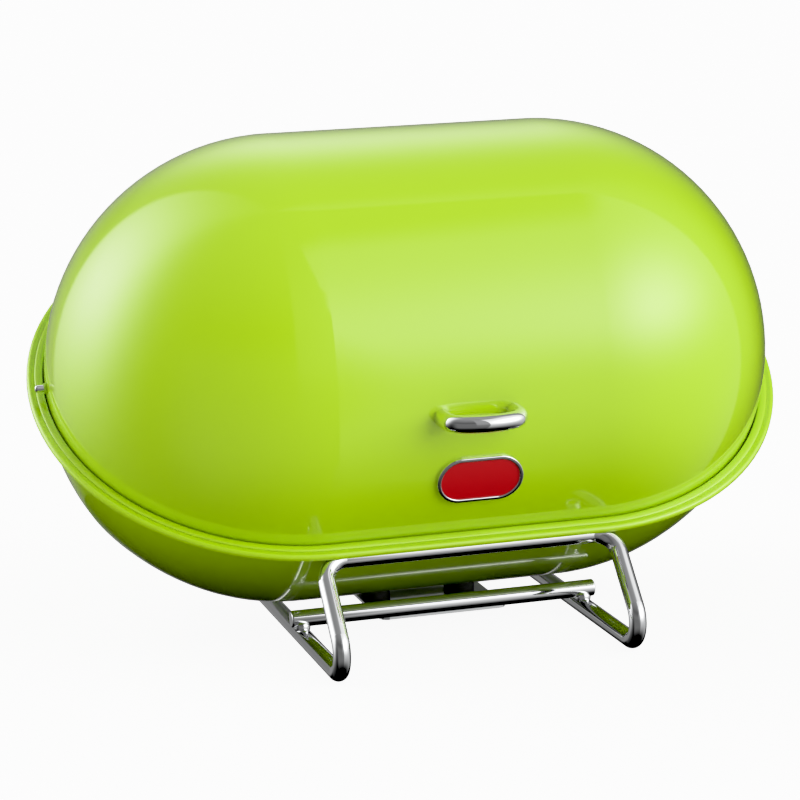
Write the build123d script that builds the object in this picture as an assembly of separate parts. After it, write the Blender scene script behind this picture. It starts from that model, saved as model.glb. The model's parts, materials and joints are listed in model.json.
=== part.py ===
"""Tabletop bread box: a capsule-shaped steel body with a lid that swings up and back into it,
carried by a cradle bent from round rod.

Millimetres. X runs along the body, -Y is the front and +Z is up. The origin lies on the table
under the middle of the body.
"""
import os
from math import atan2, cos, degrees, radians, sin, sqrt, tan

from build123d import *

# Body and lid
end_spacing = 118.4           # between the centres of the two round ends
lid_outer_radius = 104.4
lid_sheet = 0.6
lid_edge_drop = 9.5           # lid edge below the pivot line, square to the rim
shell_sheet = 0.6
lid_running_gap = 0.4         # between the lid and the shell it swings into
rim_tilt = 32.3               # the rim is low at the front and high at the back
rim_drop = 5.5                # middle of the rim sheet below the pivot line
rim_reach = 6.3               # rim beyond the shell wall
rim_groove = 0.7              # depth of the groove between the two crests of the rim
rim_lip = 2.2                 # turned down edge of the rim
rim_root_bend = 1.4
rim_groove_bend = 2.0
rim_lip_bend = 1.2
rim_root_length = 2.6         # straight wall under the rim
bottom_flat_rise = 3.0        # how far the flat under the body is pressed in
bottom_flat_bend = 18.0
belly_front_angle = 49.5      # where the flatter belly starts, from straight down to the front
belly_back_angle = 2.0        # where it ends, from straight down to the back
belly_draw = 3.0              # how far its middle is drawn in
belly_end_draw = 24.0         # how much less its ends stand out than round ones
open_angle = 100.0            # lid travel

# Air holes in the back wall
air_hole_count = 5
air_hole_pitch = 15.0
air_hole_dia = 5.0

# Lid handle
handle_rod_dia = 7.4
handle_centres = 31.2         # between the two legs
handle_reach = 15.5           # rod centre beyond the lid at the middle of the bow
handle_bow_radius = 31.0
handle_bend = 9.0
handle_angle = 4.0            # below the level of the pivot line, round the lid
handle_bore_depth = 8.0

# Badge plate, plain
badge_length = 37.6
badge_height = 21.4
badge_border = 1.7
badge_border_height = 1.9
badge_field_height = 1.2
badge_edge_round = 0.5
badge_angle = 19.9
badge_offset = 1.5            # along the lid from its middle
badge_stud_dia = 1.5
badge_stud_length = 3.4       # inside the lid
badge_clip_dia = 7.0
badge_clip_sheet = 0.4

# Pivots
pin_dia = 3.2
pin_out = 5.1                 # pin beyond the lid
pin_head_dia = 7.0
pin_head_height = 1.4
bush_wall = 0.45
bush_collar_dia = 4.6
bush_collar_length = 1.3
bush_flange_dia = 8.0
bush_flange = 0.35
running_clearance = 0.05
bracket_sheet = 1.2
bracket_width = 9.0
bracket_step_start = 23.0     # from the pivot line to where the bracket steps out to the wall
bracket_step_length = 5.0
bracket_length = 46.0
bracket_lid_gap = 0.5

# Stops under the front edge of the lid
stop_spacing = 90.0
stop_width = 9.0
stop_tab_sheet = 1.0
stop_tab_leg = 12.0
stop_shelf_depth = 5.2
stop_buffer_height = 5.0
stop_buffer_depth = 4.6
stop_stem_dia = 2.6
stop_stem_below = 2.0         # stem that shows under the shelf
stop_lid_gap = 0.1

# Rod cradle
rod_dia = 7.5
cradle_width = 129.2          # between the rod centres of the two runners
cradle_bar_angle = 38.2       # where the long bars touch the shell, below the pivot line
leg_slope = 46.2
bar_bend = 10.0
foot_bend = 9.6
cross_bar_offset = 43.9       # of each cross bar from the middle
cross_bar_overhang = 5.0
cross_bar_edge_round = 0.8
weld_gap = 0.15
weld_size = 3.6

# Plate between the cross bars, screwed to the body
plate_width = 58.0
plate_sheet = 1.2
plate_corner = 4.0
spacer_height = 4.0
spacer_dia = 14.0
plate_screw_spacing = 40.0

# Fasteners
screw_dia = 3.9
screw_hole_dia = 4.3
screw_head_dia = 7.8
screw_head_height = 2.5
recess_width = 1.0
recess_length = 4.2
recess_depth = 1.3
washer_dia = 9.0
washer_sheet = 0.8
nut_flats = 7.0
nut_height = 3.2
screw_past_nut = 0.8
seat_gap = 0.03

# Worked out from the above
half_spacing = end_spacing / 2
lid_inner_radius = lid_outer_radius - lid_sheet
shell_inner_radius = lid_outer_radius + lid_running_gap
shell_outer_radius = shell_inner_radius + shell_sheet
shell_mid_radius = shell_inner_radius + shell_sheet / 2
rim_outer_radius = shell_outer_radius + rim_reach
rod_radius = rod_dia / 2
axis_height = shell_outer_radius - bottom_flat_rise + spacer_height + rod_dia + weld_gap
axis_point = Vector(0, 0, axis_height)
bottom_z = axis_height - shell_outer_radius + bottom_flat_rise
plate_top_z = bottom_z - spacer_height
runner_z = rod_radius
cross_bar_z = runner_z + rod_dia + weld_gap
bar_distance = shell_outer_radius + rod_radius + seat_gap
bar_y = bar_distance * cos(radians(cradle_bar_angle))
bar_z = axis_height - bar_distance * sin(radians(cradle_bar_angle))
foot_y = bar_y + (bar_z - runner_z) / tan(radians(leg_slope))
rim_frame = Location((0, 0, axis_height), (rim_tilt, 0, 0))


def around(radius):
    """A solid capsule about the pivot line."""
    middle = Cylinder(radius, end_spacing, rotation=(0, 90, 0))
    left = Pos(-half_spacing, 0, 0) * Sphere(radius)
    right = Pos(half_spacing, 0, 0) * Sphere(radius)
    return Pos(0, 0, axis_height) * (middle + left + right)


def capsule(radius, end_draw=0.0):
    """A solid of revolution about the X axis: a cylinder with round ends, or flatter ones."""
    reach = radius - end_draw
    outline = make_face([
        Line((-half_spacing - reach, 0), (half_spacing + reach, 0)),
        EllipticalCenterArc((half_spacing, 0), reach, radius, start_angle=0, arc_size=90),
        Line((half_spacing, radius), (-half_spacing, radius)),
        EllipticalCenterArc((-half_spacing, 0), reach, radius, start_angle=90, arc_size=90),
    ])
    return revolve(Plane.XZ * outline, Axis.X, 360)


def belly(inset):
    """The larger, flatter form that draws the underside in at the front, less an inset all round."""
    half_angle = radians(belly_front_angle + belly_back_angle) / 2
    middle_angle = radians(belly_front_angle - belly_back_angle) / 2
    half_chord = shell_outer_radius * sin(half_angle)
    rise = shell_outer_radius * (1 - cos(half_angle)) - belly_draw
    radius = (half_chord ** 2 + rise ** 2) / (2 * rise)
    shift = radius - rise - shell_outer_radius * cos(half_angle)
    centre = axis_point + Vector(0, shift * sin(middle_angle), shift * cos(middle_angle))
    return Pos(*centre) * capsule(radius - inset, belly_end_draw)


def wall_form(inset):
    """The closed form of the body without its flat, less an inset all round."""
    return Pos(*axis_point) * capsule(shell_outer_radius - inset) & belly(inset)


def bowl_form(inset):
    """The closed form of the body, flat underneath, less an inset all round."""
    level = bottom_z + inset
    form = wall_form(inset) & above_level(level)
    edges = form.edges().filter_by_position(Axis.Z, level - 0.01, level + 0.01)
    return fillet(edges, bottom_flat_bend)


def tube_about_axis(inner, outer, length):
    """A round tube about the pivot line."""
    tube = Cylinder(outer, length, rotation=(0, 90, 0)) - Cylinder(inner, length, rotation=(0, 90, 0))
    return Pos(0, 0, axis_height) * tube


def below_rim_plane(drop):
    """All that lies further below the pivot line than drop, square to the rim."""
    size = 4 * shell_outer_radius + end_spacing
    return rim_frame * (Pos(0, 0, -drop - size / 2) * Box(size, size, size))


def above_level(height):
    """All that lies above a level, in the world's own upright frame."""
    size = 4 * shell_outer_radius + end_spacing
    return Pos(0, 0, height + size / 2) * Box(size, size, size)


def on_lid(angle, along=0.0):
    """A frame on the pivot line whose Z points out through the lid, angle below the level."""
    turn = radians(angle)
    out = Vector(0, -cos(turn), -sin(turn))
    return Plane(origin=axis_point + Vector(along, 0, 0), x_dir=(1, 0, 0), z_dir=out).location


def round_rod(path, diameter):
    """A round rod along a path of straights and arcs."""
    start = Plane(origin=path @ 0, z_dir=path % 0)
    return sweep(start * Circle(diameter / 2), path=path)


def pan_screw(length):
    """A pan head screw that points down -Z from the seat of its head, with a cross recess."""
    shank = Pos(0, 0, -length / 2) * Cylinder(screw_dia / 2, length)
    head = Pos(0, 0, screw_head_height / 2) * Cylinder(screw_head_dia / 2, screw_head_height)
    head = fillet(head.edges().group_by(Axis.Z)[-1], screw_head_height * 0.6)
    slot = Box(recess_length, recess_width, 2 * recess_depth)
    recess = slot + Rot(0, 0, 90) * slot
    return shank + head - Pos(0, 0, screw_head_height) * recess


def flat_washer(hole_dia, outer_dia, thickness):
    """A washer that stands on the XY plane."""
    ring = Cylinder(outer_dia / 2, thickness) - Cylinder(hole_dia / 2, thickness)
    return Pos(0, 0, thickness / 2) * ring


def hex_nut():
    """A nut whose top face lies on the XY plane."""
    body = extrude(RegularPolygon(nut_flats / 2, 6, major_radius=False), -nut_height)
    return body - Cylinder(screw_hole_dia / 2, 3 * nut_height)


def seat_inside_lid(half_width):
    """How far out a flat disc can lie inside the curved lid wall."""
    return sqrt(lid_inner_radius ** 2 - half_width ** 2) - seat_gap


def rim_ring():
    """The rolled rim, with its groove and turned down lip, all round the mouth of the shell."""
    wall_v = sqrt(shell_mid_radius ** 2 - rim_drop ** 2)
    lip_v = rim_outer_radius - shell_sheet / 2
    groove_v = (wall_v + lip_v) / 2
    root = (wall_v, -rim_drop - rim_root_length)
    line = FilletPolyline(
        root,
        (wall_v, -rim_drop),
        (groove_v, -rim_drop - rim_groove),
        (lip_v, -rim_drop),
        (lip_v, -rim_drop - rim_lip),
        radius=[rim_root_bend, rim_groove_bend, rim_lip_bend],
    )
    section = trace(line, shell_sheet)
    upright = Plane.YZ * section
    front = extrude(Pos(-half_spacing, 0, 0) * upright, end_spacing, dir=(1, 0, 0))
    back = front.mirror(Plane.XZ)
    face = Plane.XZ * section
    turned = revolve(face, Axis.Z, 180)
    ends = []
    for side in (-1, 1):
        ends.append(Pos(side * half_spacing, 0, 0) * Rot(0, 0, 90 * side + 180) * turned)
    return front + back + ends[0] + ends[1]


def lower_shell():
    """The pressed body: flat underneath, rolled rim above, holes for air and for the plate screws."""
    walls = bowl_form(0) - bowl_form(shell_sheet)
    bowl = walls & below_rim_plane(rim_drop + rim_root_length / 2)
    shell = bowl + rim_frame * rim_ring()
    for index in range(air_hole_count):
        x = (index - (air_hole_count - 1) / 2) * air_hole_pitch
        hole = Cylinder(air_hole_dia / 2, 4 * shell_sheet + 2, rotation=(90, 0, 0))
        shell -= Pos(x, shell_mid_radius, axis_height) * hole
    for x in plate_screw_places():
        shell -= Pos(x, 0, bottom_z) * Cylinder(screw_hole_dia / 2, 6 * shell_sheet)
    return shell


def lid():
    """The domed lid, with the holes for its handle, its badge and its pivots."""
    dome = (around(lid_outer_radius) - around(lid_inner_radius)) - below_rim_plane(lid_edge_drop)
    bush_hole = Cylinder(bush_hole_dia() / 2, end_spacing + 3 * lid_outer_radius, rotation=(0, 90, 0))
    dome -= Pos(0, 0, axis_height) * bush_hole
    screw_hole = Pos(0, 0, lid_outer_radius) * Cylinder(screw_hole_dia / 2, 8 * lid_sheet)
    for x in (-handle_centres / 2, handle_centres / 2):
        dome -= on_lid(handle_angle, x) * screw_hole
    stud_radius = badge_stud_dia / 2 + running_clearance
    stud_hole = Pos(0, 0, lid_outer_radius) * Cylinder(stud_radius, 8 * lid_sheet)
    for x in badge_stud_places():
        dome -= on_lid(badge_angle, badge_offset + x) * stud_hole
    return dome


def lid_handle():
    """The bowed rod handle, hollowed to the lid's curve at its feet and bored for its screws."""
    half = handle_centres / 2
    crown = lid_outer_radius + handle_reach
    bow_centre = crown - handle_bow_radius
    corner_x = half - handle_bend
    corner_z = bow_centre + sqrt((handle_bow_radius - handle_bend) ** 2 - corner_x ** 2)
    spread = degrees(atan2(corner_x, corner_z - bow_centre))
    in_plan = Plane.XZ
    left_leg = Line((-half, 0, lid_inner_radius), (-half, 0, corner_z))
    left_bend = in_plan * CenterArc((-corner_x, corner_z), handle_bend, 180, spread - 90)
    bow = in_plan * CenterArc((0, bow_centre), handle_bow_radius, 90 + spread, -2 * spread)
    right_bend = in_plan * CenterArc((corner_x, corner_z), handle_bend, 90 - spread, spread - 90)
    right_leg = Line((half, 0, corner_z), (half, 0, lid_inner_radius))
    bends = [*left_bend.edges(), *bow.edges(), *right_bend.edges()]
    rod = round_rod(Wire([left_leg, *bends, right_leg]), handle_rod_dia)
    bore = Cylinder(screw_dia / 2 + running_clearance, 2 * handle_bore_depth)
    for x in (-half, half):
        rod -= Pos(x, 0, lid_outer_radius) * bore
    return on_lid(handle_angle) * rod - around(lid_outer_radius + seat_gap)


def handle_screws():
    """Two pan head screws that hold the handle from inside the lid."""
    seat = seat_inside_lid(washer_dia / 2) - washer_sheet
    length = lid_outer_radius - seat + handle_bore_depth * 0.8
    return [
        on_lid(handle_angle, x) * Pos(0, 0, seat) * Rot(180, 0, 0) * pan_screw(length)
        for x in (-handle_centres / 2, handle_centres / 2)
    ]


def handle_washers():
    """A washer under the head of each handle screw."""
    seat = seat_inside_lid(washer_dia / 2) - washer_sheet
    washer = flat_washer(screw_hole_dia, washer_dia, washer_sheet)
    places = (-handle_centres / 2, handle_centres / 2)
    return [on_lid(handle_angle, x) * Pos(0, 0, seat) * washer for x in places]


def badge_stud_places():
    """Where the two studs of the badge stand, from its middle."""
    reach = (badge_length - badge_border) / 2
    return (-reach, reach)


def badge_prism(border):
    """The outline of the badge, less a border, as a prism out through the lid."""
    outline = SlotOverall(badge_length - 2 * border, badge_height - 2 * border)
    return on_lid(badge_angle, badge_offset) * extrude(outline, 2 * lid_outer_radius)


def badge_bezel():
    """The bright border of the badge, curved to the lid, with two studs behind it."""
    base = lid_outer_radius + seat_gap
    band = tube_about_axis(base, base + badge_border_height, end_spacing)
    ring = band & (badge_prism(0) - badge_prism(badge_border))
    ring = ring.solids()[0]
    crest = [edge for edge in ring.edges() if distance_from_axis(edge) > base + badge_border_height * 0.9]
    ring = fillet(crest, badge_edge_round)
    for x in badge_stud_places():
        length = badge_stud_length + lid_sheet + seat_gap + badge_border_height / 2
        stud = Pos(0, 0, base + badge_border_height / 2 - length / 2) * Cylinder(badge_stud_dia / 2, length)
        ring += on_lid(badge_angle, badge_offset + x) * stud
    return ring


def distance_from_axis(edge):
    """How far the middle of an edge lies from the pivot line."""
    middle = edge @ 0.5
    return sqrt(middle.Y ** 2 + (middle.Z - axis_height) ** 2)


def badge_field():
    """The plain enamelled field inside the border."""
    base = lid_outer_radius + seat_gap
    band = tube_about_axis(base, base + badge_field_height, end_spacing)
    return band & badge_prism(badge_border + seat_gap)


def badge_clips():
    """The spring discs pushed onto the badge studs inside the lid."""
    seat = seat_inside_lid(badge_clip_dia / 2) - badge_clip_sheet
    disc = flat_washer(badge_stud_dia + 2 * seat_gap, badge_clip_dia, badge_clip_sheet)
    seated = Pos(0, 0, seat) * disc
    return [on_lid(badge_angle, badge_offset + x) * seated for x in badge_stud_places()]


def bush_hole_dia():
    """The hole in the lid that the bush sits in."""
    return pin_dia + 2 * running_clearance + 2 * bush_wall + 2 * seat_gap


def at_end(side):
    """A frame at the centre of one round end, with its Z out along the pivot line."""
    centre = axis_point + Vector(side * half_spacing, 0, 0)
    return Plane(origin=centre, x_dir=(0, 1, 0), z_dir=(side, 0, 0)).location


def pivot_pin(side):
    """The pin, headed inside its bracket, with a rounded free end that stands out of the lid."""
    bracket_inner_radius = lid_inner_radius - bracket_lid_gap - bracket_sheet
    inner = sqrt(bracket_inner_radius ** 2 - (pin_head_dia / 2) ** 2)
    outer = lid_outer_radius + pin_out
    shank = Pos(0, 0, (inner + outer) / 2) * Cylinder(pin_dia / 2, outer - inner)
    shank = fillet(shank.edges().group_by(Axis.Z)[-1], pin_dia * 0.35)
    head_seat = inner - seat_gap - pin_head_height / 2
    head = Pos(0, 0, head_seat) * Cylinder(pin_head_dia / 2, pin_head_height)
    head = fillet(head.edges().group_by(Axis.Z)[0], pin_head_height * 0.6)
    neck = Pos(0, 0, head_seat + pin_head_height / 2) * Cylinder(pin_dia / 2, pin_head_height)
    return at_end(side) * (shank + neck + head)


def pivot_bush(side):
    """The bush in the lid: a thin flange inside, a barrel and a short collar outside."""
    bore = pin_dia / 2 + running_clearance
    barrel_radius = bore + bush_wall
    flange_out = sqrt(lid_inner_radius ** 2 - (bush_flange_dia / 2) ** 2) - seat_gap
    collar_out = lid_outer_radius + bush_collar_length
    barrel = Pos(0, 0, (flange_out + collar_out) / 2) * Cylinder(barrel_radius, collar_out - flange_out)
    flange = Pos(0, 0, flange_out - bush_flange / 2) * Cylinder(bush_flange_dia / 2, bush_flange)
    collar_in = lid_outer_radius + seat_gap
    collar = Pos(0, 0, (collar_in + collar_out) / 2) * Cylinder(bush_collar_dia / 2, collar_out - collar_in)
    collar = fillet(collar.edges().group_by(Axis.Z)[-1], bush_wall)
    bored = barrel + flange + collar - Pos(0, 0, collar_out) * Cylinder(bore, 8 * bush_collar_length)
    return at_end(side) * bored


def hinge_bracket(side):
    """A strip that carries the pin inside the lid and steps out to the shell wall off the lid's path."""
    arm_out = lid_inner_radius - bracket_lid_gap
    wall_out = shell_inner_radius - seat_gap
    arm_end = bracket_step_start
    wall_start = bracket_step_start + bracket_step_length

    def at_radius(radius, off_axis):
        return (off_axis, sqrt(radius ** 2 - off_axis ** 2))

    outline = [
        RadiusArc(at_radius(arm_out, 0), at_radius(arm_out, arm_end), arm_out),
        Line(at_radius(arm_out, arm_end), at_radius(wall_out, wall_start)),
        RadiusArc(at_radius(wall_out, wall_start), at_radius(wall_out, bracket_length), wall_out),
        Line(at_radius(wall_out, bracket_length), at_radius(wall_out - bracket_sheet, bracket_length)),
        RadiusArc(
            at_radius(wall_out - bracket_sheet, bracket_length),
            at_radius(wall_out - bracket_sheet, wall_start),
            -(wall_out - bracket_sheet),
        ),
        Line(at_radius(wall_out - bracket_sheet, wall_start), at_radius(arm_out - bracket_sheet, arm_end)),
        RadiusArc(
            at_radius(arm_out - bracket_sheet, arm_end),
            at_radius(arm_out - bracket_sheet, 0),
            -(arm_out - bracket_sheet),
        ),
        Line(at_radius(arm_out - bracket_sheet, 0), at_radius(arm_out, 0)),
    ]
    section = Plane.XZ * make_face(outline)
    dished = revolve(section, Axis.Z, 360)
    strip_length = bracket_length + bracket_width
    strip = SlotOverall(strip_length, bracket_width)
    strip = Pos(strip_length / 2 - bracket_width / 2, 0, 0) * strip
    blank = dished & extrude(strip, 2 * shell_outer_radius)
    blank -= Pos(0, 0, arm_out) * Cylinder(pin_dia / 2 + seat_gap, 6 * bracket_sheet)
    place = Plane(
        origin=axis_point + Vector(side * half_spacing, 0, 0),
        x_dir=bracket_direction(),
        z_dir=(side, 0, 0),
    )
    return place.location * blank


def bracket_direction():
    """Midway between the closed lid's edge and the open lid's edge, where the lid never passes."""
    turn = radians(180 + open_angle / 2 - rim_tilt)
    middle = turn + radians(90)
    return Vector(0, -cos(middle), sin(middle))


def stop_tab(x):
    """A steel tab on the front wall, with a shelf for its buffer."""
    shelf_top = -lid_edge_drop - stop_lid_gap - stop_buffer_height
    leg_out = shell_inner_radius - seat_gap
    leg_inset = shell_sheet + seat_gap
    window = Box(stop_width, shell_outer_radius, stop_tab_leg)
    window = Pos(0, -shell_outer_radius, shelf_top - stop_tab_leg / 2) * window
    leg = (wall_form(leg_inset) - wall_form(leg_inset + stop_tab_sheet)) & rim_frame * window
    back = sqrt(leg_out ** 2 - shelf_top ** 2) - stop_tab_sheet / 2
    shelf = Box(stop_width, stop_shelf_depth, stop_tab_sheet)
    shelf = rim_frame * Pos(0, -back + stop_shelf_depth / 2, shelf_top - stop_tab_sheet / 2) * shelf
    shelf &= around(leg_out)
    stem_hole = Cylinder(stop_stem_dia / 2 + seat_gap, 4 * stop_tab_sheet)
    stem_hole = rim_frame * Pos(0, stop_stem_y(), shelf_top) * stem_hole
    return Pos(x, 0, 0) * (leg + shelf - stem_hole)


def stop_stem_y():
    """Where the buffer's stem goes through the shelf, in the rim's frame."""
    shelf_top = -lid_edge_drop - stop_lid_gap - stop_buffer_height
    return -sqrt(shell_inner_radius ** 2 - shelf_top ** 2) + stop_tab_sheet + stop_buffer_depth / 2


def stop_buffer(x):
    """The soft block that the lid's edge comes down on, with a stem through the shelf."""
    top = -lid_edge_drop - stop_lid_gap
    shelf_top = top - stop_buffer_height
    depth = stop_buffer_depth + 4 * stop_tab_sheet
    middle_y = stop_stem_y() + stop_buffer_depth / 2 - depth / 2
    middle_z = (top + shelf_top + seat_gap) / 2
    block = Pos(0, middle_y, middle_z) * Box(stop_width, depth, stop_buffer_height - seat_gap)
    block = rim_frame * block & around(shell_inner_radius - seat_gap)
    stem_length = stop_tab_sheet + stop_stem_below
    stem = Cylinder(stop_stem_dia / 2, stem_length)
    stem = Pos(0, stop_stem_y(), shelf_top + seat_gap - stem_length / 2) * stem
    return Pos(x, 0, 0) * (block + rim_frame * stem)


def cradle_frame():
    """One loop of rod: a long bar front and back, four slanted legs, four tight feet and two runners."""
    half = cradle_width / 2
    left = FilletPolyline(
        (0, -bar_y, bar_z),
        (-half, -bar_y, bar_z),
        (-half, -foot_y, runner_z),
        (-half, foot_y, runner_z),
        (-half, bar_y, bar_z),
        (0, bar_y, bar_z),
        radius=[bar_bend, foot_bend, foot_bend, bar_bend],
    )
    half_loop = round_rod(left, rod_dia)
    return half_loop + half_loop.mirror(Plane.YZ)


def cross_bar(side):
    """A straight rod welded across the two runners."""
    length = cradle_width + 2 * cross_bar_overhang
    bar = Cylinder(rod_radius, length, rotation=(0, 90, 0))
    bar = fillet(bar.edges().filter_by(GeomType.CIRCLE), cross_bar_edge_round)
    return Pos(0, side * cross_bar_offset, cross_bar_z) * bar


def cradle_welds():
    """A weld in each crossing of a cross bar and a runner."""
    welds = []
    for side_x in (-1, 1):
        for side_y in (-1, 1):
            x = side_x * cradle_width / 2
            y = side_y * cross_bar_offset
            lump = Pos(x, y, runner_z + rod_radius + weld_gap / 2) * Sphere(weld_size)
            lump -= Pos(x, y, runner_z) * Cylinder(rod_radius, 4 * weld_size, rotation=(90, 0, 0))
            lump -= Pos(x, y, cross_bar_z) * Cylinder(rod_radius, 4 * weld_size, rotation=(0, 90, 0))
            welds.append(lump)
    return welds


def plate_screw_places():
    """Where the screws stand that hold the body to the plate."""
    return (-plate_screw_spacing / 2, plate_screw_spacing / 2)


def mounting_plate():
    """The flat plate under the two cross bars that the body is screwed to."""
    blank = Box(plate_width, 2 * cross_bar_offset, plate_sheet)
    blank = fillet(blank.edges().filter_by(Axis.Z), plate_corner)
    for x in plate_screw_places():
        blank -= Pos(x, 0, 0) * Cylinder(screw_hole_dia / 2, 4 * plate_sheet)
    return Pos(0, 0, plate_top_z - seat_gap - plate_sheet / 2) * blank


def plate_spacers():
    """The soft discs that hold the body clear of the plate."""
    disc = flat_washer(screw_hole_dia, spacer_dia, spacer_height - seat_gap)
    return [Pos(x, 0, plate_top_z) * disc for x in plate_screw_places()]


def plate_washers():
    """A washer under each screw head, inside the body."""
    washer = flat_washer(screw_hole_dia, washer_dia, washer_sheet)
    return [Pos(x, 0, bottom_z + shell_sheet + seat_gap) * washer for x in plate_screw_places()]


def plate_screws():
    """Two pan head screws from inside the body down through the plate."""
    seat = bottom_z + shell_sheet + washer_sheet + 2 * seat_gap
    length = seat - nut_top_z() + nut_height + screw_past_nut
    return [Pos(x, 0, seat) * pan_screw(length) for x in plate_screw_places()]


def nut_top_z():
    """The underside of the plate, less a seat gap."""
    return plate_top_z - plate_sheet - 2 * seat_gap


def plate_nuts():
    """A nut under the plate on each screw."""
    return [Pos(x, 0, nut_top_z()) * hex_nut() for x in plate_screw_places()]


def build_parts():
    """Every sub-part by its node name."""
    return {
        "lower_shell": lower_shell(),
        "lid": lid(),
        "lid_handle": lid_handle(),
        "handle_screws": handle_screws(),
        "handle_washers": handle_washers(),
        "badge_bezel": badge_bezel(),
        "badge_field": badge_field(),
        "badge_clips": badge_clips(),
        "pivot_pin_left": pivot_pin(-1),
        "pivot_pin_right": pivot_pin(1),
        "pivot_bush_left": pivot_bush(-1),
        "pivot_bush_right": pivot_bush(1),
        "hinge_bracket_left": hinge_bracket(-1),
        "hinge_bracket_right": hinge_bracket(1),
        "stop_tabs": [stop_tab(-stop_spacing / 2), stop_tab(stop_spacing / 2)],
        "stop_buffers": [stop_buffer(-stop_spacing / 2), stop_buffer(stop_spacing / 2)],
        "cradle_frame": cradle_frame(),
        "cross_bar_front": cross_bar(-1),
        "cross_bar_rear": cross_bar(1),
        "cradle_welds": cradle_welds(),
        "mounting_plate": mounting_plate(),
        "plate_spacers": plate_spacers(),
        "plate_washers": plate_washers(),
        "plate_screws": plate_screws(),
        "plate_nuts": plate_nuts(),
    }


def write_parts():
    """One STEP file for each node."""
    os.makedirs("parts", exist_ok=True)
    for name, shape in build_parts().items():
        pieces = shape if isinstance(shape, list) else [shape]
        solids = [solid for piece in pieces for solid in piece.solids()]
        export_step(Compound(children=solids), f"parts/{name}.step")
        print(name, len(solids))


write_parts()
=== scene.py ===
"""Bread box in lime lacquer on a bright rod cradle, in a white studio."""

import json
from math import degrees, radians

import bpy
from mathutils import Matrix, Vector


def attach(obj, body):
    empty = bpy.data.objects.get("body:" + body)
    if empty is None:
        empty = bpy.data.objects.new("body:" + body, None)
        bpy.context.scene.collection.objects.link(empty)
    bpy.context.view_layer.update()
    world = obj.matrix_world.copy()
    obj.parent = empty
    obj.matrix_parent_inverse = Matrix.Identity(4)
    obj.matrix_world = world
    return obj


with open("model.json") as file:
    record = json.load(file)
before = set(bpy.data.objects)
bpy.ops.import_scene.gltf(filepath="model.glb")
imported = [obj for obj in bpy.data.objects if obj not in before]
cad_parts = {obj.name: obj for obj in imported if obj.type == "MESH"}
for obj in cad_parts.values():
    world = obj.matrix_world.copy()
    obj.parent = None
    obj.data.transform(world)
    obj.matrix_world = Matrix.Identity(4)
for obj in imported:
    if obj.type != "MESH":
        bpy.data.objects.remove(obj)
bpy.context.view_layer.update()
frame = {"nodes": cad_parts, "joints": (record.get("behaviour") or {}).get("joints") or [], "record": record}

# Camera, where the photograph was taken from: its place in metres, its directions, its lens in millimetres
CAMERA_PLACE = (-0.31906, -1.14617, 0.31809)
CAMERA_RIGHT = (0.96209, -0.27050, -0.03481)
CAMERA_UP = (0.08281, 0.16810, 0.98228)
CAMERA_FORWARD = (0.25986, 0.94793, -0.18412)
CAMERA_LENS = 120.8
CAMERA_SENSOR = 36.0
CAMERA_SIGHT = 50.0

# Linear colours of the finishes
LIME = (0.44, 0.70, 0.004)
BADGE_RED = (0.52, 0.004, 0.008)
NYLON_LIME = (0.36, 0.60, 0.01)
CHROME = (0.86, 0.87, 0.88)
ZINC = (0.68, 0.69, 0.70)
RUBBER_GREY = (0.05, 0.05, 0.05)

# Lacquer: paint that drifts a little in colour, under varnish with a fine orange peel
PAINT_CLOUDS = 18.0           # noise scales are per metre
PAINT_DARKEST = 0.97          # share of the full colour
PAINT_ROUGHNESS = 0.32
PAINT_IOR = 1.5
PAINT_GLOSS = 0.2
VARNISH_ROUGHNESS = 0.03
VARNISH_IOR = 1.85
PEEL_GRAIN = 320.0
PEEL_STRENGTH = 0.03
BADGE_VARNISH = 0.35          # the badge has less varnish than the body

# Plated metal, its gloss drifting between two shares of its roughness
METAL_WAVES = 60.0
METAL_SMOOTHEST = 0.7
METAL_ROUGHEST = 1.4
CHROME_ROUGHNESS = 0.03
ZINC_ROUGHNESS = 0.22

# Moulded nylon and rubber
MOULDED_GRAIN = 220.0
MOULDED_DARKEST = 0.85
MOULDED_STRENGTH = 0.2
NYLON_ROUGHNESS = 0.35
RUBBER_ROUGHNESS = 0.6

BUMP_DEPTH = 0.0002

# Bead on the inner edge of the rim, in metres. Out and up are in the rim's own tilted plane.
RIM_TILT = 32.3
ROUND_END = 0.0592            # centre of each round end, from the middle
BEAD_OUT = 0.10655
BEAD_UP = -0.00568
BEAD_HALF_WIDTH = 0.00180
BEAD_HALF_HEIGHT = 0.00060
BEAD_SIDES = 20
BEND_STEPS = 96
SAME_PLACE = 1e-6
SEAM_GAP = 1e-5

# Floor: how it lights the object, and what the camera sees of it
FLOOR_SIZE = 30.0
FLOOR_SHADE = 0.85
# Painted shadow: the floor's colour is dark under the object, where little light falls, for the light that
# it throws back
FLOOR_PAINTED_SHADOW = 0.06            # its shade under the object, where little light falls
FLOOR_ROUGHNESS = 0.9
FLOOR_LIFT = 0.85             # share of plain white in what the camera sees
PAINTED_SHADOW_STRETCH = (0.72, 1.0, 1.0)  # the shade under it is longer than it is deep
PAINTED_SHADOW_FADE = (0.09, 0.22)     # from that shade to open floor, in metres from the middle

# Studio light by direction. Turn is in degrees round from the front, and rise in degrees up from
# the level. A fade goes from none to full. A spread is its middle and its widths below and above.
STUDIO_STRENGTH = 0.30
SOFT_GAIN = 1.88              # how much more of it falls as soft light than shows in the gloss
CEILING_FALL = 1.3
CEILING = 1.05

# Large panel on the right, its right edge leaning, with a lamp behind it
PANEL_LEFT_FADE = (13.0, 15.5)
PANEL_RIGHT_FADE = (104.0, 101.0)
PANEL_LEAN = 0.19
PANEL_TOP_FADE = (72.0, 60.0)
PANEL_FOOT_FADE = (-58.0, -12.0)
PANEL = 1.75
LAMP_TURN = (48.0, 22.0, 24.0)
LAMP_RISE = (20.0, 12.0, 16.0)
LAMP = 9.8

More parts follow.
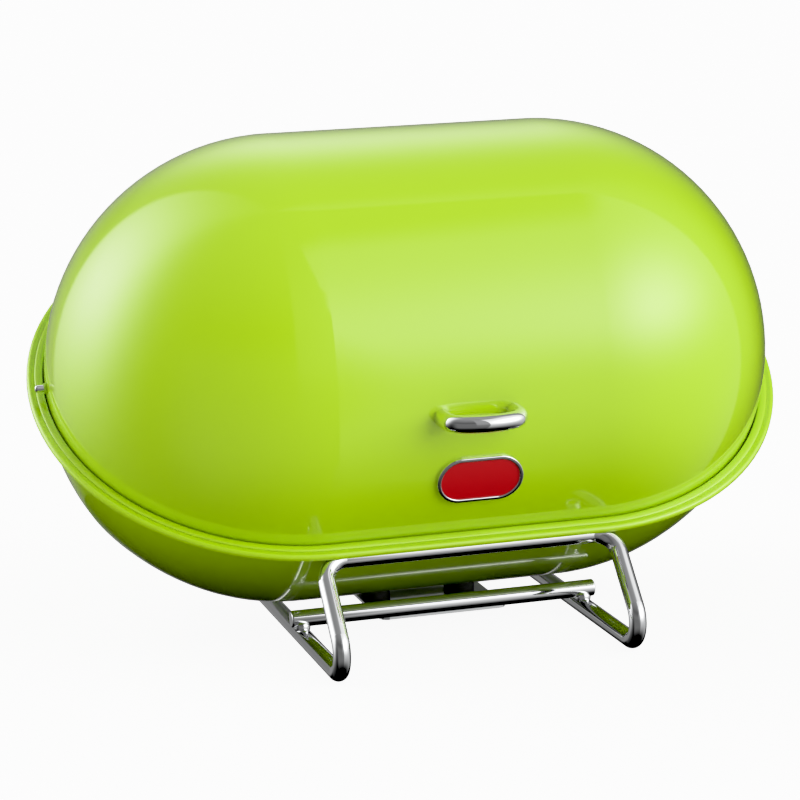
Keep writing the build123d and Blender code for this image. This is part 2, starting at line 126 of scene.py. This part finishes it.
# Light that spills past the left and the right of that panel
SPILL_FADES = ((-6.0, -3.0), (15.0, 13.0))
SPILL_RISE = (27.0, 18.0, 22.0)
SPILL = 0.75
SIDE_FADES = ((101.0, 104.0), (132.0, 100.0))
SIDE_FOOT_FADE = (-30.0, 5.0)
SIDE = 0.95

# Panel on the left, a little behind
LEFT_EDGE_FADE = (-157.0, -152.0)
LEFT_TURN = (-120.0, 26.0, 17.0)
LEFT_RISE = (24.0, 20.0, 23.0)
LEFT = 10.5

# Soft light behind, and the bright table behind the object
BACK_TURN = (166.0, 14.0, 16.0)
BACK_RISE = (37.0, 14.0, 13.0)
BACK = 3.7
BACK_TABLE_TURN = (185.0, 26.0, 26.0)
BACK_TABLE_FADES = ((-26.0, -17.0), (22.0, 2.0))
BACK_TABLE = 0.9

# Table top in front, faint
FRONT_TABLE_TURN_FADES = ((-85.0, -50.0), (15.5, 13.0))
FRONT_TABLE_RISE_FADES = ((-58.0, -22.0), (30.0, 5.0))
FRONT_TABLE = 0.55

# Print: the brightness that prints as black and as white, and the curve between them, which is
# straight up to the paint's own brightness and then has a soft shoulder
BLACK_LEVEL = 0.006
WHITE_LEVEL = 1.6
PRINT_CURVE = ((0.20, 0.32), (0.43, 0.69), (0.53, 0.78), (0.64, 0.84), (0.81, 0.92))

# Sockets of the Mix node, by number
MIX_SHARE = 0
MIX_FIRST_NUMBER = 2
MIX_SECOND_NUMBER = 3
MIX_NUMBER_OUT = 0
MIX_FIRST_COLOUR = 6
MIX_SECOND_COLOUR = 7
MIX_COLOUR_OUT = 2


def add_node(tree, kind, settings=None, inputs=None):
    """A node with its settings made, and its inputs set or linked."""
    node = tree.nodes.new(kind)
    for key, value in (settings or {}).items():
        setattr(node, key, value)
    for key, value in (inputs or {}).items():
        if isinstance(value, bpy.types.NodeSocket):
            tree.links.new(value, node.inputs[key])
        else:
            node.inputs[key].default_value = value
    return node


class Numbers:
    """Sums on the numbers of one node tree."""

    def __init__(self, tree):
        self.tree = tree

    def sum(self, operation, *values):
        inputs = dict(enumerate(values))
        return add_node(self.tree, "ShaderNodeMath", {"operation": operation}, inputs).outputs[0]

    def total(self, first, *others):
        for value in others:
            first = self.sum("ADD", first, value)
        return first

    def product(self, first, *others):
        for value in others:
            first = self.sum("MULTIPLY", first, value)
        return first

    def fade(self, value, none, full):
        """0 up to none and 1 from full on, smooth between them, whichever of the two is the lower."""
        if none > full:
            return self.sum("SUBTRACT", 1.0, self.fade(value, full, none))
        inputs = {"Value": value, "From Min": none, "From Max": full}
        settings = {"interpolation_type": "SMOOTHSTEP"}
        return add_node(self.tree, "ShaderNodeMapRange", settings, inputs).outputs["Result"]

    def band(self, value, fades):
        """A fade in and a fade out."""
        return self.product(*(self.fade(value, *fade) for fade in fades))

    def spread(self, value, middle, below, above):
        """1 at the middle, falling off as a bell with its own width on each side."""
        offset = self.sum("SUBTRACT", value, middle)
        lower = self.sum("DIVIDE", self.sum("MINIMUM", offset, 0.0), below)
        upper = self.sum("DIVIDE", self.sum("MAXIMUM", offset, 0.0), above)
        widths = self.total(lower, upper)
        return self.sum("EXPONENT", self.product(widths, widths, -0.5))


def new_material(name):
    """A material with its node tree and its shader."""
    material = bpy.data.materials.new(name)
    material.use_nodes = True
    tree = material.node_tree
    return material, tree, tree.nodes["Principled BSDF"]


def object_noise(tree, scale, detail=2.0):
    """A noise that follows the object's own coordinates."""
    place = add_node(tree, "ShaderNodeTexCoord")
    inputs = {"Vector": place.outputs["Object"], "Scale": scale, "Detail": detail}
    return add_node(tree, "ShaderNodeTexNoise", None, inputs).outputs["Fac"]


def cloud_colour(tree, shader, noise, colour, darkest):
    """The base colour drifts between the colour and a darker shade of it."""
    darker = tuple(value * darkest for value in colour)
    inputs = {MIX_SHARE: noise, MIX_FIRST_COLOUR: (*darker, 1), MIX_SECOND_COLOUR: (*colour, 1)}
    blend = add_node(tree, "ShaderNodeMix", {"data_type": "RGBA"}, inputs)
    tree.links.new(blend.outputs[MIX_COLOUR_OUT], shader.inputs["Base Color"])


def bump(tree, noise, strength):
    """The normal of a surface that the noise raises."""
    inputs = {"Height": noise, "Strength": strength, "Distance": BUMP_DEPTH}
    return add_node(tree, "ShaderNodeBump", None, inputs).outputs["Normal"]


def lacquer(name, colour, varnish=1.0):
    """Baked paint under clear varnish: faintly uneven in colour, with a fine orange peel in its gloss."""
    material, tree, shader = new_material(name)
    cloud_colour(tree, shader, object_noise(tree, PAINT_CLOUDS), colour, PAINT_DARKEST)
    shader.inputs["Roughness"].default_value = PAINT_ROUGHNESS
    shader.inputs["IOR"].default_value = PAINT_IOR
    shader.inputs["Specular IOR Level"].default_value = PAINT_GLOSS
    shader.inputs["Coat Weight"].default_value = varnish
    shader.inputs["Coat Roughness"].default_value = VARNISH_ROUGHNESS
    shader.inputs["Coat IOR"].default_value = VARNISH_IOR
    peel = bump(tree, object_noise(tree, PEEL_GRAIN, detail=1.0), PEEL_STRENGTH)
    tree.links.new(peel, shader.inputs["Normal"])
    tree.links.new(peel, shader.inputs["Coat Normal"])
    return material


def plated(name, colour, roughness):
    """Bright plated metal with faint polishing waves."""
    material, tree, shader = new_material(name)
    inputs = {
        "Value": object_noise(tree, METAL_WAVES),
        "To Min": roughness * METAL_SMOOTHEST,
        "To Max": roughness * METAL_ROUGHEST,
    }
    shades = add_node(tree, "ShaderNodeMapRange", None, inputs)
    tree.links.new(shades.outputs["Result"], shader.inputs["Roughness"])
    shader.inputs["Base Color"].default_value = (*colour, 1)
    shader.inputs["Metallic"].default_value = 1.0
    return material


def moulded(name, colour, roughness):
    """Plain moulded rubber or plastic with a fine grain."""
    material, tree, shader = new_material(name)
    grain = object_noise(tree, MOULDED_GRAIN, detail=3.0)
    cloud_colour(tree, shader, grain, colour, MOULDED_DARKEST)
    shader.inputs["Roughness"].default_value = roughness
    tree.links.new(bump(tree, grain, MOULDED_STRENGTH), shader.inputs["Normal"])
    return material


FINISHES = {
    "lime_enamel": lacquer("lime_lacquer", LIME),
    "bright_chrome": plated("bright_chrome", CHROME, CHROME_ROUGHNESS),
    "badge_enamel": lacquer("red_enamel", BADGE_RED, BADGE_VARNISH),
    "lime_nylon": moulded("lime_nylon", NYLON_LIME, NYLON_ROUGHNESS),
    "zinc_plated": plated("zinc_plate", ZINC, ZINC_ROUGHNESS),
    "grey_rubber": moulded("grey_rubber", RUBBER_GREY, RUBBER_ROUGHNESS),
}


def finish_solids():
    """Each solid takes the finish of its own material slot."""
    for entry in frame["record"]["subparts"]:
        mesh = frame["nodes"][entry["node"]].data
        mesh.materials.clear()
        mesh.materials.append(FINISHES[entry["material_slot"]])


def spin_round_end():
    """A flat oval section of the bead, spun round the right end of the mouth."""
    bpy.ops.mesh.primitive_circle_add(
        vertices=BEAD_SIDES, radius=1.0, location=(0, 0, 0), rotation=(0, radians(90), 0)
    )
    bead = bpy.context.object
    bead.name = "rim_bead"
    bpy.ops.object.transform_apply(location=False, rotation=True, scale=False)
    bpy.ops.object.mode_set(mode="EDIT")
    bpy.ops.mesh.select_all(action="SELECT")
    bpy.ops.transform.resize(value=(1.0, BEAD_HALF_WIDTH, BEAD_HALF_HEIGHT))
    bpy.ops.transform.translate(value=(ROUND_END, -BEAD_OUT, BEAD_UP))
    bpy.ops.mesh.spin(steps=BEND_STEPS, angle=radians(-180), center=(ROUND_END, 0, 0), axis=(0, 0, 1))
    bpy.ops.object.mode_set(mode="OBJECT")
    return bead


def draw_out_straights(bead):
    """The two open sections at the round end are drawn out to the middle."""
    mesh = bead.data
    for vertex in mesh.vertices:
        vertex.select = abs(vertex.co.x - ROUND_END) < SAME_PLACE
    for edge in mesh.edges:
        edge.select = all(mesh.vertices[index].select for index in edge.vertices)
    bpy.ops.object.mode_set(mode="EDIT")
    bpy.ops.mesh.select_mode(type="EDGE")
    bpy.ops.mesh.extrude_edges_move(TRANSFORM_OT_translate={"value": (-ROUND_END, 0, 0)})
    bpy.ops.object.mode_set(mode="OBJECT")


def build_rim_bead():
    """The rolled bead on the inner edge of the rim, all round and close to the lid."""
    bpy.ops.object.select_all(action="DESELECT")
    bead = spin_round_end()
    draw_out_straights(bead)
    mirror = bead.modifiers.new("other_half", "MIRROR")
    mirror.use_clip = True
    mirror.merge_threshold = SEAM_GAP
    bpy.ops.object.modifier_apply(modifier=mirror.name)
    bpy.ops.object.mode_set(mode="EDIT")
    bpy.ops.mesh.select_all(action="SELECT")
    bpy.ops.mesh.remove_doubles(threshold=SAME_PLACE)
    bpy.ops.mesh.normals_make_consistent(inside=False)
    bpy.ops.object.mode_set(mode="OBJECT")
    lid_swing = frame["joints"][0]
    bead.location = lid_swing["pos_m"]
    bead.rotation_euler = (radians(RIM_TILT), 0, 0)
    bpy.ops.object.transform_apply(location=True, rotation=True, scale=False)
    bpy.ops.object.shade_smooth()
    bead.data.materials.append(FINISHES["lime_enamel"])
    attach(bead, "base")


def studio_light(numbers, turn, rise, height):
    """The light that comes from one direction."""
    above = numbers.sum("MAXIMUM", height, 0.0)
    ceiling = numbers.product(numbers.sum("POWER", above, CEILING_FALL), CEILING)

    leaning = numbers.total(turn, numbers.product(rise, PANEL_LEAN))
    window = numbers.product(
        numbers.fade(turn, *PANEL_LEFT_FADE),
        numbers.fade(leaning, *PANEL_RIGHT_FADE),
        numbers.fade(rise, *PANEL_TOP_FADE),
    )
    panel = numbers.product(window, numbers.fade(rise, *PANEL_FOOT_FADE), PANEL)
    lamp = numbers.product(
        window, numbers.spread(turn, *LAMP_TURN), numbers.spread(rise, *LAMP_RISE), LAMP
    )
    spill = numbers.product(numbers.band(turn, SPILL_FADES), numbers.spread(rise, *SPILL_RISE), SPILL)
    side = numbers.product(numbers.band(leaning, SIDE_FADES), numbers.fade(rise, *SIDE_FOOT_FADE), SIDE)

    left = numbers.product(
        numbers.fade(turn, *LEFT_EDGE_FADE),
        numbers.spread(turn, *LEFT_TURN),
        numbers.spread(rise, *LEFT_RISE),
        LEFT,
    )

    full_turn = numbers.sum("WRAP", turn, 360.0, 0.0)
    back = numbers.product(numbers.spread(full_turn, *BACK_TURN), numbers.spread(rise, *BACK_RISE), BACK)
    back_table = numbers.product(
        numbers.spread(full_turn, *BACK_TABLE_TURN), numbers.band(rise, BACK_TABLE_FADES), BACK_TABLE
    )
    front_table = numbers.product(
        numbers.band(turn, FRONT_TABLE_TURN_FADES), numbers.band(rise, FRONT_TABLE_RISE_FADES), FRONT_TABLE
    )
    return numbers.total(ceiling, panel, lamp, spill, side, left, back, back_table, front_table)


def build_studio():
    """A world that lights the object by direction, and that the camera sees as plain white."""
    world = bpy.data.worlds.new("studio")
    world.use_nodes = True
    bpy.context.scene.world = world
    tree = world.node_tree
    numbers = Numbers(tree)

    direction = add_node(tree, "ShaderNodeTexCoord").outputs["Generated"]
    right, away, height = add_node(tree, "ShaderNodeSeparateXYZ", None, {"Vector": direction}).outputs
    turn = numbers.sum("ARCTAN2", right, numbers.product(away, -1.0))
    turn = numbers.product(turn, degrees(1))
    rise = numbers.product(numbers.sum("ARCSINE", height), degrees(1))

    ray = add_node(tree, "ShaderNodeLightPath").outputs
    soft = numbers.product(ray["Is Diffuse Ray"], SOFT_GAIN - 1.0)
    gain = numbers.total(soft, 1.0)
    light = numbers.product(studio_light(numbers, turn, rise, height), STUDIO_STRENGTH, gain)
    inputs = {
        MIX_SHARE: ray["Is Camera Ray"],
        MIX_FIRST_NUMBER: light,
        MIX_SECOND_NUMBER: WHITE_LEVEL,
    }
    strength = add_node(tree, "ShaderNodeMix", {"data_type": "FLOAT"}, inputs)

    background = tree.nodes["Background"]
    background.inputs["Color"].default_value = (1, 1, 1, 1)
    tree.links.new(strength.outputs[MIX_NUMBER_OUT], background.inputs["Strength"])


def build_floor():
    """A pale floor with a painted shadow under the object, dark there for the light that it throws back,
    nearly white to the camera.
    """
    bpy.ops.object.select_all(action="DESELECT")
    bpy.ops.mesh.primitive_plane_add(size=FLOOR_SIZE, location=(0, 0, 0))
    floor = bpy.context.object
    floor.name = "studio_floor"
    material, tree, shader = new_material("pale_floor")
    numbers = Numbers(tree)

    place = add_node(tree, "ShaderNodeTexCoord").outputs["Object"]
    narrowed = add_node(
        tree, "ShaderNodeVectorMath", {"operation": "MULTIPLY"}, {0: place, 1: PAINTED_SHADOW_STRETCH}
    ).outputs["Vector"]
    reach = add_node(tree, "ShaderNodeVectorMath", {"operation": "LENGTH"}, {0: narrowed}).outputs["Value"]
    seen = add_node(tree, "ShaderNodeLightPath").outputs["Is Camera Ray"]
    # Painted shadow: the floor's colour is dark under the object, and pale further out and wherever the
    # camera looks
    pale = numbers.sum("MAXIMUM", numbers.fade(reach, *PAINTED_SHADOW_FADE), seen)
    inputs = {
        MIX_SHARE: pale,
        MIX_FIRST_COLOUR: (FLOOR_PAINTED_SHADOW, FLOOR_PAINTED_SHADOW, FLOOR_PAINTED_SHADOW, 1),
        MIX_SECOND_COLOUR: (FLOOR_SHADE, FLOOR_SHADE, FLOOR_SHADE, 1),
    }
    shade = add_node(tree, "ShaderNodeMix", {"data_type": "RGBA"}, inputs)
    tree.links.new(shade.outputs[MIX_COLOUR_OUT], shader.inputs["Base Color"])
    shader.inputs["Roughness"].default_value = FLOOR_ROUGHNESS
    shader.inputs["Specular IOR Level"].default_value = 0.0

    lift = numbers.product(seen, FLOOR_LIFT)
    white = add_node(tree, "ShaderNodeEmission", None, {"Strength": WHITE_LEVEL})
    inputs = {0: lift, 1: shader.outputs[0], 2: white.outputs[0]}
    surface = add_node(tree, "ShaderNodeMixShader", None, inputs)
    tree.links.new(surface.outputs[0], tree.nodes["Material Output"].inputs["Surface"])
    floor.data.materials.append(material)
    floor.visible_glossy = False


def build_camera():
    """The camera at the photograph's place and angle."""
    lens = bpy.data.cameras.new("camera")
    lens.lens = CAMERA_LENS
    lens.sensor_width = CAMERA_SENSOR
    lens.clip_end = CAMERA_SIGHT
    camera = bpy.data.objects.new("camera", lens)
    back = Vector(CAMERA_FORWARD) * -1
    held = Matrix((CAMERA_RIGHT, CAMERA_UP, back)).transposed()
    camera.matrix_world = Matrix.Translation(CAMERA_PLACE) @ held.to_4x4()
    bpy.context.scene.collection.objects.link(camera)
    bpy.context.scene.camera = camera


def set_print():
    """The picture is printed on a curve with a soft shoulder."""
    view = bpy.context.scene.view_settings
    view.view_transform = "Standard"
    view.look = "None"
    view.use_curve_mapping = True
    mapping = view.curve_mapping
    mapping.tone = "FILMLIKE"
    mapping.black_level = (BLACK_LEVEL, BLACK_LEVEL, BLACK_LEVEL)
    mapping.white_level = (WHITE_LEVEL, WHITE_LEVEL, WHITE_LEVEL)
    brightness = mapping.curves[3]
    for point in PRINT_CURVE:
        brightness.points.new(*point)
    mapping.update()


finish_solids()
build_rim_bead()
build_studio()
build_floor()
build_camera()
set_print()
